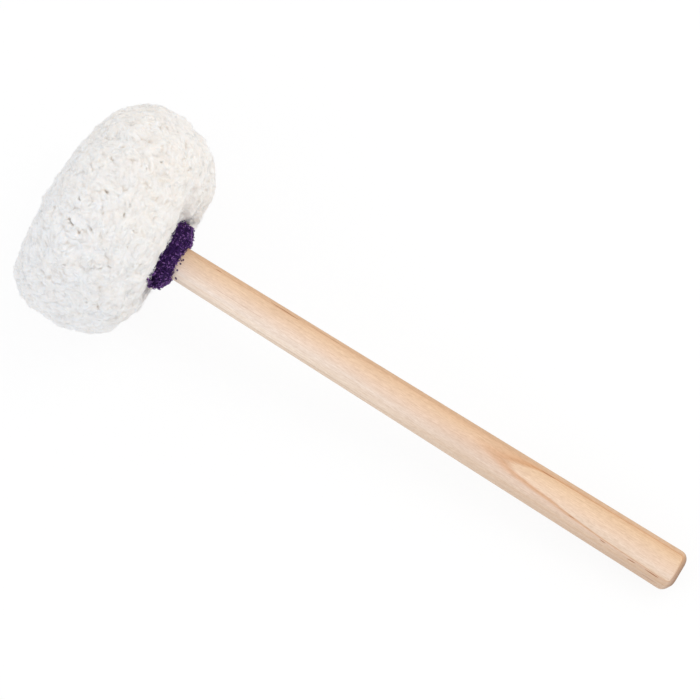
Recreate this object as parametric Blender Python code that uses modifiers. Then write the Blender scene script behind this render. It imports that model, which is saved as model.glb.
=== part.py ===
"""Gong mallet: a weighted, felt-padded, fleece-covered drum head on a tapered maple handle.

Every piece is drawn with the mallet's axis on Z: the crown of the fleece's far face is at
z = 0 and the butt of the handle is at z = OVERALL_LENGTH. One empty then lays the mallet on
the floor, where it rests on the flattened side of its fleece and on the edge of its butt,
with the head at -X and the butt at +X. Sizes are in millimetres, turned into metres by MM.
"""

import math

import bmesh
import bpy
from mathutils import Vector

MM = 0.001

# The gap left where one piece seats on another
SEAT = 0.3

# Handle: a tapered square bar with chamfered corners, and a round tenon in the core
OVERALL_LENGTH = 406.0
BUTT_WIDTH = 22.2
WIDTH_LOST_PER_LENGTH = 0.0142
CORNER_CHAMFER = 2.8
EDGE_SOFTENING = 0.5
BUTT_ROUNDING = 4.0
GRIP_BEYOND_NECK = 6.0
TENON_DIAMETER = 14.0
TENON_END_CHAMFER = 1.0

# Wooden core, counted outwards from the tenon: wood, the ring's width, wood
CORE_HEIGHT = 33.0
CORE_INNER_WALL = 14.0
RING_WIDTH = 15.0
CORE_OUTER_WALL = 6.0
CORE_EDGE = 2.0
RING_HEIGHT = 20.0
RING_EDGE = 0.8
PIN_DIAMETER = 5.0
PIN_INSET = 1.0

# Lid that closes the core, with the fasteners sunk in it
LID_FLOOR = 3.5
WASHER_DIAMETER = 26.0
WASHER_THICKNESS = 1.6
SCREW_DIAMETER = 5.4
SCREW_LENGTH = 24.0
SCREW_POINT = 5.0
SCREW_HEAD_DIAMETER = 12.0
SCREW_HEAD_HEIGHT = 3.0
SCREW_HEAD_EDGE = 1.2
SCREW_SLOT_WIDTH = 1.6
SCREW_SLOT_DEPTH = 1.2

# Felt padding round the core
FELT_THICKNESS = 9.3
FELT_DISC = 5.0
FELT_DISC_ROUNDING = 4.0
FELT_BAND_JOINT = 0.6
BINDING_FROM_EDGE = 8.0

# Fleece cover, drawn in at the neck; FULLNESS is a share of the way to the box's corner
FLEECE_FAR_WALL = 13.0
FLEECE_SIDE_WALL = 14.1
FLEECE_NEAR_WALL = 2.5
BULGE_RISE = 10.5
BULGE_BEYOND_COLLAR = 10.3
WIDEST_SHARE = 0.462
FAR_FULLNESS = 0.61
FAR_SIDE_FULLNESS = 0.74
NEAR_FULLNESS = 0.513
NEAR_SIDE_FULLNESS = 0.643
THROAT_MARGIN = 0.6
THROAT_FULLNESS = 0.55
GATHER_COUNT = 9
GATHER_DEPTH = 1.6
GATHER_REACH = 18.0
NECK_WALL = 2.8
NECK_BEYOND_YARN = 0.3
FLEECE_FLATTENING = 1.5

# Windings: twine round the felt, a drawstring in the neck and the yarn collar over it
TWINE_DIAMETER = 1.5
TWINE_GAP = 0.5
TWINE_TURNS = 2
DRAWSTRING_DIAMETER = 1.3
DRAWSTRING_GAP = 0.45
DRAWSTRING_TURNS = 3
YARN_DIAMETER = 2.6
YARN_GAP = 0.45
YARN_LAYER_TURNS = 3.5
YARN_CLIMB_TURNS = 0.5
YARN_CLIMB_SWELL = 0.8

# Fineness of the facets
FLEECE_STEPS = 36
TURN_STEPS = 48
SMALL_TURN_STEPS = 24
QUARTER_STEPS = 6
THROAT_STEPS = 3
ROUNDING_STEPS = 2
BUTT_ROUNDING_STEPS = 4
LOOP_STEPS = 24
WIDE_LOOP_STEPS = 36

# Stack of the head, measured along the axis from the crown of the far face
LID_RECESS = SEAT + WASHER_THICKNESS + SEAT + SCREW_HEAD_HEIGHT
LID_THICKNESS = LID_RECESS + LID_FLOOR
FELT_FAR_Z = FLEECE_FAR_WALL + SEAT
LID_Z = FELT_FAR_Z + FELT_DISC + SEAT
CORE_Z = LID_Z + LID_THICKNESS + SEAT
RING_END_Z = CORE_Z + RING_HEIGHT
CORE_NEAR_Z = CORE_Z + CORE_HEIGHT
SHOULDER_Z = CORE_NEAR_Z + SEAT
CAVITY_NEAR_Z = SHOULDER_Z + FELT_DISC + SEAT
THROAT_Z = CAVITY_NEAR_Z + FLEECE_NEAR_WALL
BULGE_Z = THROAT_Z + BULGE_RISE
PIN_Z = (RING_END_Z + CORE_NEAR_Z) / 2

# Radii of the head, outwards from the tenon
TENON_RADIUS = TENON_DIAMETER / 2
RING_INNER_RADIUS = TENON_RADIUS + SEAT + CORE_INNER_WALL + SEAT
RING_OUTER_RADIUS = RING_INNER_RADIUS + RING_WIDTH
CORE_RADIUS = RING_OUTER_RADIUS + SEAT + CORE_OUTER_WALL
FELT_RADIUS = CORE_RADIUS + SEAT + FELT_THICKNESS
CAVITY_RADIUS = FELT_RADIUS + SEAT
CAVITY_ROUNDING = FELT_DISC_ROUNDING + SEAT
HEAD_RADIUS = CAVITY_RADIUS + FLEECE_SIDE_WALL

# Places of the windings along the axis
YARN_PITCH = YARN_DIAMETER + YARN_GAP
YARN_FIRST_Z = THROAT_Z + SEAT + YARN_DIAMETER / 2
YARN_LAST_Z = YARN_FIRST_Z + YARN_LAYER_TURNS * YARN_PITCH
NECK_END_Z = YARN_LAST_Z + YARN_DIAMETER / 2 + NECK_BEYOND_YARN
GRIP_Z = NECK_END_Z + GRIP_BEYOND_NECK
DRAWSTRING_PITCH = DRAWSTRING_DIAMETER + DRAWSTRING_GAP
DRAWSTRING_SPAN = DRAWSTRING_TURNS * DRAWSTRING_PITCH
TWINE_PITCH = TWINE_DIAMETER + TWINE_GAP
TWINE_SPAN = TWINE_TURNS * TWINE_PITCH
TWINE_RADIUS = FELT_RADIUS - SEAT / 3 - TWINE_DIAMETER / 2

MAPLE = (0.80, 0.62, 0.44)
PLYWOOD = (0.70, 0.52, 0.34)
STEEL = (0.55, 0.55, 0.56)
FELT_GREY = (0.62, 0.60, 0.56)
TWINE = (0.72, 0.64, 0.48)
FLEECE = (0.90, 0.88, 0.85)
PURPLE = (0.09, 0.03, 0.20)


def handle_half_width(z):
    """Half the handle's width across its flats: even up to the grip, then growing to the butt."""
    return (BUTT_WIDTH - WIDTH_LOST_PER_LENGTH * (OVERALL_LENGTH - max(z, GRIP_Z))) / 2


def handle_corner_radius(z):
    """How far the handle's chamfered corners lie from its axis."""
    half = handle_half_width(z)
    return math.hypot(half, half - CORNER_CHAMFER)


# Radii of the neck and its windings, outwards from the handle's corners
NECK_RADIUS = handle_corner_radius(NECK_END_Z) + SEAT + NECK_WALL
DRAWSTRING_RADIUS = NECK_RADIUS - SEAT - DRAWSTRING_DIAMETER / 2
WAIST_RADIUS = DRAWSTRING_RADIUS - DRAWSTRING_DIAMETER / 2 - SEAT
YARN_INNER_RADIUS = NECK_RADIUS + SEAT + YARN_DIAMETER / 2
YARN_OUTER_RADIUS = YARN_INNER_RADIUS + YARN_PITCH
COLLAR_RADIUS = YARN_OUTER_RADIUS + YARN_DIAMETER / 2
THROAT_RADIUS = COLLAR_RADIUS + THROAT_MARGIN
BULGE_RADIUS = COLLAR_RADIUS + BULGE_BEYOND_COLLAR


def bezier(start, start_pull, end_pull, end, steps):
    """Points after the start of a cubic curve between two (radius, z) points."""
    points = []
    for k in range(1, steps + 1):
        t = k / steps
        weights = ((1 - t) ** 3, 3 * t * (1 - t) ** 2, 3 * t**2 * (1 - t), t**3)
        pulls = (start, start_pull, end_pull, end)
        points.append(tuple(sum(w * p[i] for w, p in zip(weights, pulls)) for i in (0, 1)))
    return points


def head_outline():
    """The head's outside: the far face, the side, the near bulge and the dip to the throat."""
    widest_z = BULGE_Z * WIDEST_SHARE
    near_depth = BULGE_Z - widest_z
    crown, widest, bulge = (0, 0), (HEAD_RADIUS, widest_z), (BULGE_RADIUS, BULGE_Z)
    throat = (THROAT_RADIUS, THROAT_Z)
    far_pull = (HEAD_RADIUS * FAR_FULLNESS, 0)
    far_side_pull = (HEAD_RADIUS, widest_z * (1 - FAR_SIDE_FULLNESS))
    near_side_pull = (HEAD_RADIUS, widest_z + near_depth * NEAR_SIDE_FULLNESS)
    near_pull = (BULGE_RADIUS + (HEAD_RADIUS - BULGE_RADIUS) * NEAR_FULLNESS, BULGE_Z)
    inward = (BULGE_RADIUS - THROAT_RADIUS) * THROAT_FULLNESS
    throat_pull = (THROAT_RADIUS, THROAT_Z + BULGE_RISE * THROAT_FULLNESS)
    outline = [crown]
    outline += bezier(crown, far_pull, far_side_pull, widest, QUARTER_STEPS)
    outline += bezier(widest, near_side_pull, near_pull, bulge, QUARTER_STEPS)
    outline += bezier(bulge, (BULGE_RADIUS - inward, BULGE_Z), throat_pull, throat, THROAT_STEPS)
    return outline


def head_reach(across, along):
    """How far the head reaches in the direction (across, along), from the crown of its far face."""
    return max(abs(across) * radius + along * z for radius, z in head_outline())


def butt_reach(across, along):
    """How far the rounded butt reaches in the direction (across, along), from the same crown."""
    inset_z = OVERALL_LENGTH - BUTT_ROUNDING
    inset_half = BUTT_WIDTH / 2 - BUTT_ROUNDING
    return inset_z * along + inset_half * abs(across) + BUTT_ROUNDING


def floor_reach(lean):
    """How far the floor lies from the crown when the axis leans down to the butt by this angle."""
    return head_reach(math.cos(lean), math.sin(lean)) - FLEECE_FLATTENING


def resting_lean():
    """The lean at which head and butt both touch the floor, found by halving."""
    low, high = 0.0, math.radians(45)
    for _ in range(40):
        lean = (low + high) / 2
        if butt_reach(math.cos(lean), math.sin(lean)) < floor_reach(lean):
            low = lean
        else:
            high = lean
    return low


def clear_scene():
    """Removes whatever the startup scene holds."""
    for obj in list(bpy.data.objects):
        bpy.data.objects.remove(obj, do_unlink=True)


def new_collection(name):
    """A collection of that name under the scene's own."""
    collection = bpy.data.collections.new(name)
    bpy.context.scene.collection.children.link(collection)
    return collection


def material(name, colour, roughness, metallic=0.0):
    """A plain Principled material."""
    made = bpy.data.materials.new(name)
    made.use_nodes = True
    shader = made.node_tree.nodes["Principled BSDF"]
    shader.inputs["Base Color"].default_value = (*colour, 1.0)
    shader.inputs["Roughness"].default_value = roughness
    shader.inputs["Metallic"].default_value = metallic
    return made


def add_object(name, data, collection, finish=None):
    """An object with this data, in this collection, with its material."""
    obj = bpy.data.objects.new(name, data)
    collection.objects.link(obj)
    if finish is not None:
        data.materials.append(finish)
    return obj


def as_cutter(obj):
    """Marks an object as a helper that is not part of the mallet."""
    obj.hide_render = True
    obj.display_type = "WIRE"
    return obj


def shade(mesh, sharp_degrees=40):
    """Smooth shading that keeps the edges sharper than this angle."""
    mesh.shade_smooth()
    mesh.set_sharp_from_angle(angle=math.radians(sharp_degrees))
    return mesh


def finish_mesh(name, shape):
    """A mesh from the edited shape, its faces outward."""
    bmesh.ops.recalc_face_normals(shape, faces=shape.faces)
    mesh = bpy.data.meshes.new(name)
    shape.to_mesh(mesh)
    shape.free()
    return mesh


def turned(name, outline, collection, finish=None, steps=TURN_STEPS):
    """An object turned about Z from (radius, z) points in millimetres that run up its outer side.

    The outline starts and ends on the axis, or is closed if it never meets the axis.
    """
    shape = bmesh.new()
    points = [shape.verts.new((radius * MM, 0, z * MM)) for radius, z in outline]
    for pair in zip(points, points[1:]):
        shape.edges.new(pair)
    if outline[0][0] > 0:
        shape.edges.new((points[-1], points[0]))
    profile = bpy.data.meshes.new(name)
    shape.to_mesh(profile)
    shape.free()
    blank = add_object(name, profile, collection)
    screw = blank.modifiers.new("turn", "SCREW")
    screw.axis = "Z"
    screw.steps = steps
    screw.render_steps = steps
    screw.use_normal_flip = True
    screw.use_merge_vertices = True
    screw.merge_threshold = 0.00001
    evaluated = blank.evaluated_get(bpy.context.evaluated_depsgraph_get())
    mesh = shade(bpy.data.meshes.new_from_object(evaluated))
    bpy.data.objects.remove(blank, do_unlink=True)
    bpy.data.meshes.remove(profile)
    mesh.name = name
    return add_object(name, mesh, collection, finish)


def rod(name, diameter, length, collection, finish=None, chamfer=0.0):
    """A round rod about Z, centred on its own origin, with chamfered ends."""
    shape = bmesh.new()
    radius = diameter / 2 * MM
    bmesh.ops.create_cone(
        shape,
        cap_ends=True,
        segments=SMALL_TURN_STEPS,
        radius1=radius,
        radius2=radius,
        depth=length * MM,
    )
    if chamfer > 0:
        rims = [edge for edge in shape.edges if edge.verts[0].co.z == edge.verts[1].co.z]
        bmesh.ops.bevel(shape, geom=rims, offset=chamfer * MM, segments=1, affect="EDGES")
    return add_object(name, shade(finish_mesh(name, shape)), collection, finish)


def block(name, size, collection):
    """A rectangular cutter of this size in millimetres, centred on its own origin."""
    shape = bmesh.new()
    bmesh.ops.create_cube(shape, size=MM)
    bmesh.ops.scale(shape, vec=size, verts=shape.verts)
    return as_cutter(add_object(name, finish_mesh(name, shape), collection))


def apply_boolean(obj, other, operation="DIFFERENCE"):
    """Cuts the other object's shape out of this one, or joins it on."""
    boolean = obj.modifiers.new(f"{operation.lower()} {other.name}", "BOOLEAN")
    boolean.operation = operation
    boolean.object = other


def tapered_bar(name, low, high, clearance=0.0):
    """The handle's chamfered bar between two heights, grown by clearance on every flat."""
    shape = bmesh.new()
    bmesh.ops.create_cube(shape, size=MM)
    for vert in shape.verts:
        vert.co.z = (low if vert.co.z < 0 else high) * MM
    whole = [*shape.verts, *shape.edges, *shape.faces]
    bmesh.ops.bisect_plane(shape, geom=whole, plane_co=(0, 0, GRIP_Z * MM), plane_no=(0, 0, 1))
    for vert in shape.verts:
        half = (handle_half_width(vert.co.z / MM) + clearance) * MM
        vert.co.x = math.copysign(half, vert.co.x)
        vert.co.y = math.copysign(half, vert.co.y)
    corners = [e for e in shape.edges if abs(e.verts[0].co.z - e.verts[1].co.z) > MM]
    bmesh.ops.bevel(shape, geom=corners, offset=CORNER_CHAMFER * MM, segments=1, affect="EDGES")
    return finish_mesh(name, shape)


def round_over(mesh, end_z):
    """Rounds the end at this height and softens the long edges of a bar."""
    shape = bmesh.new()
    shape.from_mesh(mesh)
    rim = [e for e in shape.edges if all(abs(v.co.z - end_z * MM) < SEAT * MM for v in e.verts)]
    bmesh.ops.bevel(
        shape,
        geom=rim,
        offset=BUTT_ROUNDING * MM,
        segments=BUTT_ROUNDING_STEPS,
        profile=0.5,
        affect="EDGES",
    )
    long = [e for e in shape.edges if abs(e.verts[0].co.z - e.verts[1].co.z) > BUTT_ROUNDING * MM]
    bmesh.ops.bevel(shape, geom=long, offset=EDGE_SOFTENING * MM, segments=1, affect="EDGES")
    return finish_mesh(mesh.name, shape)


def build_handle(parts, cutters, finish):
    """The handle: its bar from shoulder to butt, its tenon, and the tenon's two holes."""
    bar = round_over(tapered_bar("handle", SHOULDER_Z, OVERALL_LENGTH), OVERALL_LENGTH)
    handle = add_object("handle", shade(bar, 20), parts, finish)
    tenon_outline = [
        (0, CORE_Z),
        (TENON_RADIUS - TENON_END_CHAMFER, CORE_Z),
        (TENON_RADIUS, CORE_Z + TENON_END_CHAMFER),
        (TENON_RADIUS, SHOULDER_Z + SEAT),
        (0, SHOULDER_Z + SEAT),
    ]
    tenon = as_cutter(turned("tenon", tenon_outline, cutters, steps=SMALL_TURN_STEPS))
    apply_boolean(handle, tenon, "UNION")
    pilot_depth = SCREW_LENGTH - LID_FLOOR - WASHER_THICKNESS
    pilot = as_cutter(rod("pilot_hole", SCREW_DIAMETER + 2 * SEAT, 2 * pilot_depth, cutters))
    pilot.location.z = CORE_Z * MM
    apply_boolean(handle, pilot)
    apply_boolean(handle, cutters.objects["pin_hole"])


def build_core(parts, cutters, finish):
    """The turned core: a drum bored for the tenon, with a groove for the ring."""
    bore = TENON_RADIUS + SEAT
    groove_inner, groove_outer = RING_INNER_RADIUS - SEAT, RING_OUTER_RADIUS + SEAT
    groove_floor = RING_END_Z + SEAT
    outline = [
        (bore, CORE_Z),
        (groove_inner, CORE_Z),
        (groove_inner, groove_floor),
        (groove_outer, groove_floor),
        (groove_outer, CORE_Z),
        (CORE_RADIUS, CORE_Z),
        (CORE_RADIUS, CORE_NEAR_Z - CORE_EDGE),
        (CORE_RADIUS - CORE_EDGE, CORE_NEAR_Z),
        (bore, CORE_NEAR_Z),
    ]
    core = turned("head_core", outline, parts, finish)
    apply_boolean(core, cutters.objects["pin_hole"])


def build_lid(parts, finish):
    """The plywood lid over the ring's groove, recessed for the washer and the screw's head."""
    shank = SCREW_DIAMETER / 2 + SEAT
    recess = WASHER_DIAMETER / 2 + SEAT
    recess_floor = LID_Z + LID_RECESS
    lid_end = LID_Z + LID_THICKNESS
    outline = [
        (recess, LID_Z),
        (CORE_RADIUS - CORE_EDGE, LID_Z),
        (CORE_RADIUS, LID_Z + CORE_EDGE),
        (CORE_RADIUS, lid_end),
        (shank, lid_end),
        (shank, recess_floor),
        (recess, recess_floor),
    ]
    turned("core_lid", outline, parts, finish)


def build_weight_ring(parts, finish):
    """The steel ring that weights the head."""
    outline = [
        (RING_INNER_RADIUS, CORE_Z),
        (RING_OUTER_RADIUS - RING_EDGE, CORE_Z),
        (RING_OUTER_RADIUS, CORE_Z + RING_EDGE),
        (RING_OUTER_RADIUS, RING_END_Z - RING_EDGE),
        (RING_OUTER_RADIUS - RING_EDGE, RING_END_Z),
        (RING_INNER_RADIUS, RING_END_Z),
    ]
    turned("weight_ring", outline, parts, finish)


def build_washer(parts, finish):
    """The washer under the screw's head."""
    near = LID_Z + LID_RECESS - SEAT
    hole, edge = SCREW_DIAMETER / 2 + SEAT, WASHER_DIAMETER / 2
    outline = [
        (hole, near - WASHER_THICKNESS),
        (edge - SEAT, near - WASHER_THICKNESS),
        (edge, near - WASHER_THICKNESS + SEAT),
        (edge, near),
        (hole, near),
    ]
    turned("retaining_washer", outline, parts, finish)


def build_screw(parts, cutters, finish):
    """The slotted wood screw that holds lid and core on the tenon."""
    head_end = LID_Z + SCREW_HEAD_HEIGHT
    shank, head = SCREW_DIAMETER / 2, SCREW_HEAD_DIAMETER / 2
    outline = [
        (0, LID_Z),
        (head - SCREW_HEAD_EDGE, LID_Z),
        (head, LID_Z + SCREW_HEAD_EDGE),
        (head, head_end),
        (shank, head_end),
        (shank, head_end + SCREW_LENGTH - SCREW_POINT),
        (0, head_end + SCREW_LENGTH),
    ]
    screw = turned("retaining_screw", outline, parts, finish, SMALL_TURN_STEPS)
    slot_size = (2 * SCREW_HEAD_DIAMETER, SCREW_SLOT_WIDTH, 2 * SCREW_SLOT_DEPTH)
    slot = block("screw_slot", slot_size, cutters)
    slot.location.z = LID_Z * MM
    apply_boolean(screw, slot)


def build_pin(parts, cutters, finish):
    """The dowel through core and tenon, and the cutter for its hole."""
    length = 2 * CORE_RADIUS - 2 * PIN_INSET
    pin = rod("cross_pin", PIN_DIAMETER, length, parts, finish, chamfer=SEAT)
    hole = rod("pin_hole", PIN_DIAMETER + 2 * SEAT, 2 * CORE_RADIUS + SEAT, cutters)
    for obj in (pin, as_cutter(hole)):
        obj.location.z = PIN_Z * MM
        obj.rotation_euler.x = math.radians(90)


def binding_places():
    """Heights of the middles of the two twine bindings."""
    return (LID_Z + BINDING_FROM_EDGE, CORE_NEAR_Z - BINDING_FROM_EDGE)


def build_felt_band(parts, cutters, finish):
    """The felt strip wrapped once round core and lid, with a groove where each binding bites."""
    half_groove = (TWINE_SPAN + TWINE_DIAMETER) / 2 + SEAT
    groove_radius = TWINE_RADIUS - TWINE_DIAMETER / 2 - SEAT
    outline = [(CORE_RADIUS + SEAT, LID_Z), (FELT_RADIUS, LID_Z)]
    for z in binding_places():
        outline += [(FELT_RADIUS, z - half_groove), (groove_radius, z - half_groove)]
        outline += [(groove_radius, z + half_groove), (FELT_RADIUS, z + half_groove)]
    outline += [(FELT_RADIUS, CORE_NEAR_Z), (CORE_RADIUS + SEAT, CORE_NEAR_Z)]
    band = turned("felt_band", outline, parts, finish)
    joint_size = (FELT_RADIUS, FELT_BAND_JOINT, 2 * (CORE_NEAR_Z - LID_Z))
    joint = block("felt_joint", joint_size, cutters)
    joint.location = Vector((-FELT_RADIUS, 0, (LID_Z + CORE_NEAR_Z) / 2)) * MM
    apply_boolean(band, joint)


def rounding(radius, z, size, start_degrees):
    """Points of a quarter circle in an outline, centred at (radius, z), with growing angle."""
    angles = [math.radians(start_degrees + 90 * k / ROUNDING_STEPS) for k in range(ROUNDING_STEPS + 1)]
    return [(radius + size * math.cos(a), z + size * math.sin(a)) for a in angles]


def build_felt_discs(parts, cutters, finish):
    """The felt discs on the far and near faces; the near one is cut for the handle."""
    inset = FELT_RADIUS - FELT_DISC_ROUNDING
    far_end, near_end = FELT_FAR_Z + FELT_DISC, SHOULDER_Z + FELT_DISC
    far = [(0, FELT_FAR_Z)]
    far += rounding(inset, FELT_FAR_Z + FELT_DISC_ROUNDING, FELT_DISC_ROUNDING, -90)
    far += [(FELT_RADIUS, far_end), (0, far_end)]
    turned("felt_far_disc", far, parts, finish)
    near = [(0, SHOULDER_Z), (FELT_RADIUS, SHOULDER_Z)]
    near += rounding(inset, near_end - FELT_DISC_ROUNDING, FELT_DISC_ROUNDING, 0)
    near += [(0, near_end)]
    disc = turned("felt_near_disc", near, parts, finish)
    apply_boolean(disc, cutters.objects["handle_way"])


def cover_outline():
    """The cover's outline: the outside, the neck with its waist, then back through the hollow."""
    middle = (THROAT_Z + NECK_END_Z) / 2
    half_waist = (DRAWSTRING_SPAN + DRAWSTRING_DIAMETER) / 2 + SEAT
    inset = CAVITY_RADIUS - CAVITY_ROUNDING
    near_corner = rounding(inset, CAVITY_NEAR_Z - CAVITY_ROUNDING, CAVITY_ROUNDING, 0)
    far_corner = rounding(inset, FLEECE_FAR_WALL + CAVITY_ROUNDING, CAVITY_ROUNDING, -90)
    outline = head_outline()
    outline += [
        (NECK_RADIUS, THROAT_Z),
        (NECK_RADIUS, middle - half_waist),
        (WAIST_RADIUS, middle - half_waist),
        (WAIST_RADIUS, middle + half_waist),
        (NECK_RADIUS, middle + half_waist),
        (NECK_RADIUS, NECK_END_Z),
        (TENON_RADIUS / 2, NECK_END_Z),
        (TENON_RADIUS / 2, CAVITY_NEAR_Z),
    ]
    outline += [*reversed(near_corner), *reversed(far_corner), (0, FLEECE_FAR_WALL)]
    return outline


def gather(mesh):
    """Draws the near bulge into shallow folds that run in to the neck."""
    outer = BULGE_RADIUS + GATHER_REACH
    for vert in mesh.vertices:
        radius = math.hypot(vert.co.x, vert.co.y) / MM
        on_bulge = THROAT_RADIUS < radius < outer and vert.co.z / MM > THROAT_Z + SEAT
        if on_bulge:
            share = (radius - THROAT_RADIUS) / (outer - THROAT_RADIUS)
            turn = math.atan2(vert.co.y, vert.co.x)
            fold = (1 - math.cos(GATHER_COUNT * turn)) / 2
            vert.co.z -= GATHER_DEPTH * MM * math.sin(math.pi * share) * fold


def build_fleece(parts, cutters, finish):
    """The fleece cover, gathered at the neck, hollow for the head and flat where it rests."""
    cover = turned("fleece_cover", cover_outline(), parts, finish, FLEECE_STEPS)
    gather(cover.data)
    apply_boolean(cover, cutters.objects["handle_way"])
    apply_boolean(cover, cutters.objects["floor_slab"])


def build_handle_way(cutters):
    """The cutter that gives the handle its way through felt and neck."""
    beyond = HEAD_RADIUS
    mesh = tapered_bar("handle_way", CORE_NEAR_Z - SEAT, NECK_END_Z + beyond, clearance=SEAT)
    as_cutter(add_object("handle_way", mesh, cutters))


def build_floor_slab(cutters, lean):
    """The cutter that flattens the fleece where it lies on the floor."""
    depth, breadth = HEAD_RADIUS, 4 * HEAD_RADIUS
    slab = block("floor_slab", (depth, breadth, breadth), cutters)
    reach = (floor_reach(lean) + depth / 2) * MM
    slab.location = (reach * math.cos(lean), 0, reach * math.sin(lean))
    slab.rotation_euler.y = -lean


def least_gap(points, diameter, per_turn):
    """The least gap of a tube to itself, between its points at least half a turn apart."""
    least = math.inf
    for i, first in enumerate(points):
        for second in points[i + per_turn // 2 :]:
            least = min(least, (first - second).length)
    return least - diameter


def wound_tube(name, points, diameter, per_turn, collection, finish):
    """One unbroken tube through the points, its ends run on straight for one diameter."""
    start, end = points[0], points[-1]
    route = [start + (start - points[1]).normalized() * diameter, *points]
    route.append(end + (end - points[-2]).normalized() * diameter)
    print(f"{name}: least gap to itself {least_gap(route, diameter, per_turn):.2f} mm")
    curve = bpy.data.curves.new(name, "CURVE")
    curve.dimensions = "3D"
    curve.bevel_depth = diameter / 2 * MM
    curve.bevel_resolution = 1
    curve.use_fill_caps = True
    spline = curve.splines.new("POLY")
    spline.points.add(len(route) - 1)
    for place, point in zip(spline.points, route):
        place.co = (*(point * MM), 1)
    return add_object(name, curve, collection, finish)


def round_axis(radius, turn, z):
    """The point at this radius, this many turns round the axis, at this height."""
    angle = math.tau * turn
    return Vector((radius * math.cos(angle), radius * math.sin(angle), z))


def helix(radius, first_z, pitch, turns, per_turn, start_turn=0.0):
    """Points of a helix about Z."""
    shares = [k / per_turn for k in range(round(turns * per_turn) + 1)]
    return [round_axis(radius, start_turn + turn, first_z + pitch * turn) for turn in shares]


def build_bindings(parts, finish):
    """The two twine bindings that hold the felt strip on the core."""
    for name, middle in zip(("felt_binding_far", "felt_binding_near"), binding_places()):
        first_z = middle - TWINE_SPAN / 2
        points = helix(TWINE_RADIUS, first_z, TWINE_PITCH, TWINE_TURNS, WIDE_LOOP_STEPS)
        wound_tube(name, points, TWINE_DIAMETER, WIDE_LOOP_STEPS, parts, finish)


def build_drawstring(parts, finish):
    """The drawstring that closes the cover on the handle, in the waist of the neck."""
    first_z = (THROAT_Z + NECK_END_Z - DRAWSTRING_SPAN) / 2
    points = helix(DRAWSTRING_RADIUS, first_z, DRAWSTRING_PITCH, DRAWSTRING_TURNS, LOOP_STEPS)
    wound_tube("neck_drawstring", points, DRAWSTRING_DIAMETER, LOOP_STEPS, parts, finish)


def yarn_route():
    """The yarn's way: a layer towards the butt, a climb in half a turn, and a layer back."""
    route = helix(YARN_INNER_RADIUS, YARN_FIRST_Z, YARN_PITCH, YARN_LAYER_TURNS, LOOP_STEPS)
    climb_points = round(YARN_CLIMB_TURNS * LOOP_STEPS)
    for k in range(1, climb_points):
        share = k / climb_points
        radius = YARN_INNER_RADIUS + YARN_PITCH * share
        turn = YARN_LAYER_TURNS + YARN_CLIMB_TURNS * share
        z = YARN_LAST_Z + YARN_CLIMB_SWELL * math.sin(math.pi * share)
        route.append(round_axis(radius, turn, z))
    back_from = YARN_LAYER_TURNS + YARN_CLIMB_TURNS
    return route + helix(
        YARN_OUTER_RADIUS, YARN_LAST_Z, -YARN_PITCH, YARN_LAYER_TURNS, LOOP_STEPS, back_from
    )


def build_yarn_collar(parts, finish):
    """The yarn wound over the drawn-in neck, in two layers."""
    wound_tube("yarn_collar", yarn_route(), YARN_DIAMETER, LOOP_STEPS, parts, finish)


def lay_down(parts, cutters, lean):
    """Parents everything to one empty, and lays the mallet on the floor over the world's origin."""
    across, along = math.sin(lean), math.cos(lean)
    low_x = -head_reach(across, -along)
    high_x = butt_reach(across, along)
    mallet = bpy.data.objects.new("mallet", None)
    mallet.rotation_euler.y = math.radians(90) + lean
    mallet.location = (-(low_x + high_x) / 2 * MM, 0, floor_reach(lean) * MM)
    for obj in [*parts.objects, *cutters.objects]:
        obj.parent = mallet
    parts.objects.link(mallet)


def main():
    clear_scene()
    parts = new_collection("gong mallet")
    cutters = new_collection("cutters")
    maple = material("maple", MAPLE, 0.45)
    plywood = material("plywood", PLYWOOD, 0.6)
    steel = material("steel", STEEL, 0.4, 1.0)
    felt = material("felt", FELT_GREY, 0.95)
    twine = material("twine", TWINE, 0.85)
    fleece = material("fleece", FLEECE, 0.95)
    yarn = material("yarn", PURPLE, 0.9)
    lean = resting_lean()
    build_handle_way(cutters)
    build_floor_slab(cutters, lean)
    build_pin(parts, cutters, maple)
    build_handle(parts, cutters, maple)
    build_core(parts, cutters, maple)
    build_lid(parts, plywood)
    build_weight_ring(parts, steel)
    build_washer(parts, steel)
    build_screw(parts, cutters, steel)
    build_felt_band(parts, cutters, felt)
    build_felt_discs(parts, cutters, felt)
    build_bindings(parts, twine)
    build_fleece(parts, cutters, fleece)
    build_drawstring(parts, twine)
    build_yarn_collar(parts, yarn)
    lay_down(parts, cutters, lean)


main()
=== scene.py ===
"""Gong mallet: white fleece head, wound purple collar and maple handle, round the CAD frame.

Pieces are shaped on the mallet's own axis first: X runs from the crown of the far face to the
butt, Z is the top as it lies, and Y is the world's Y. LAY then puts them where the CAD has them.
"""

import math
import random

import bmesh
import bpy
import numpy as np
from mathutils import Matrix, Vector, kdtree, noise


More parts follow.
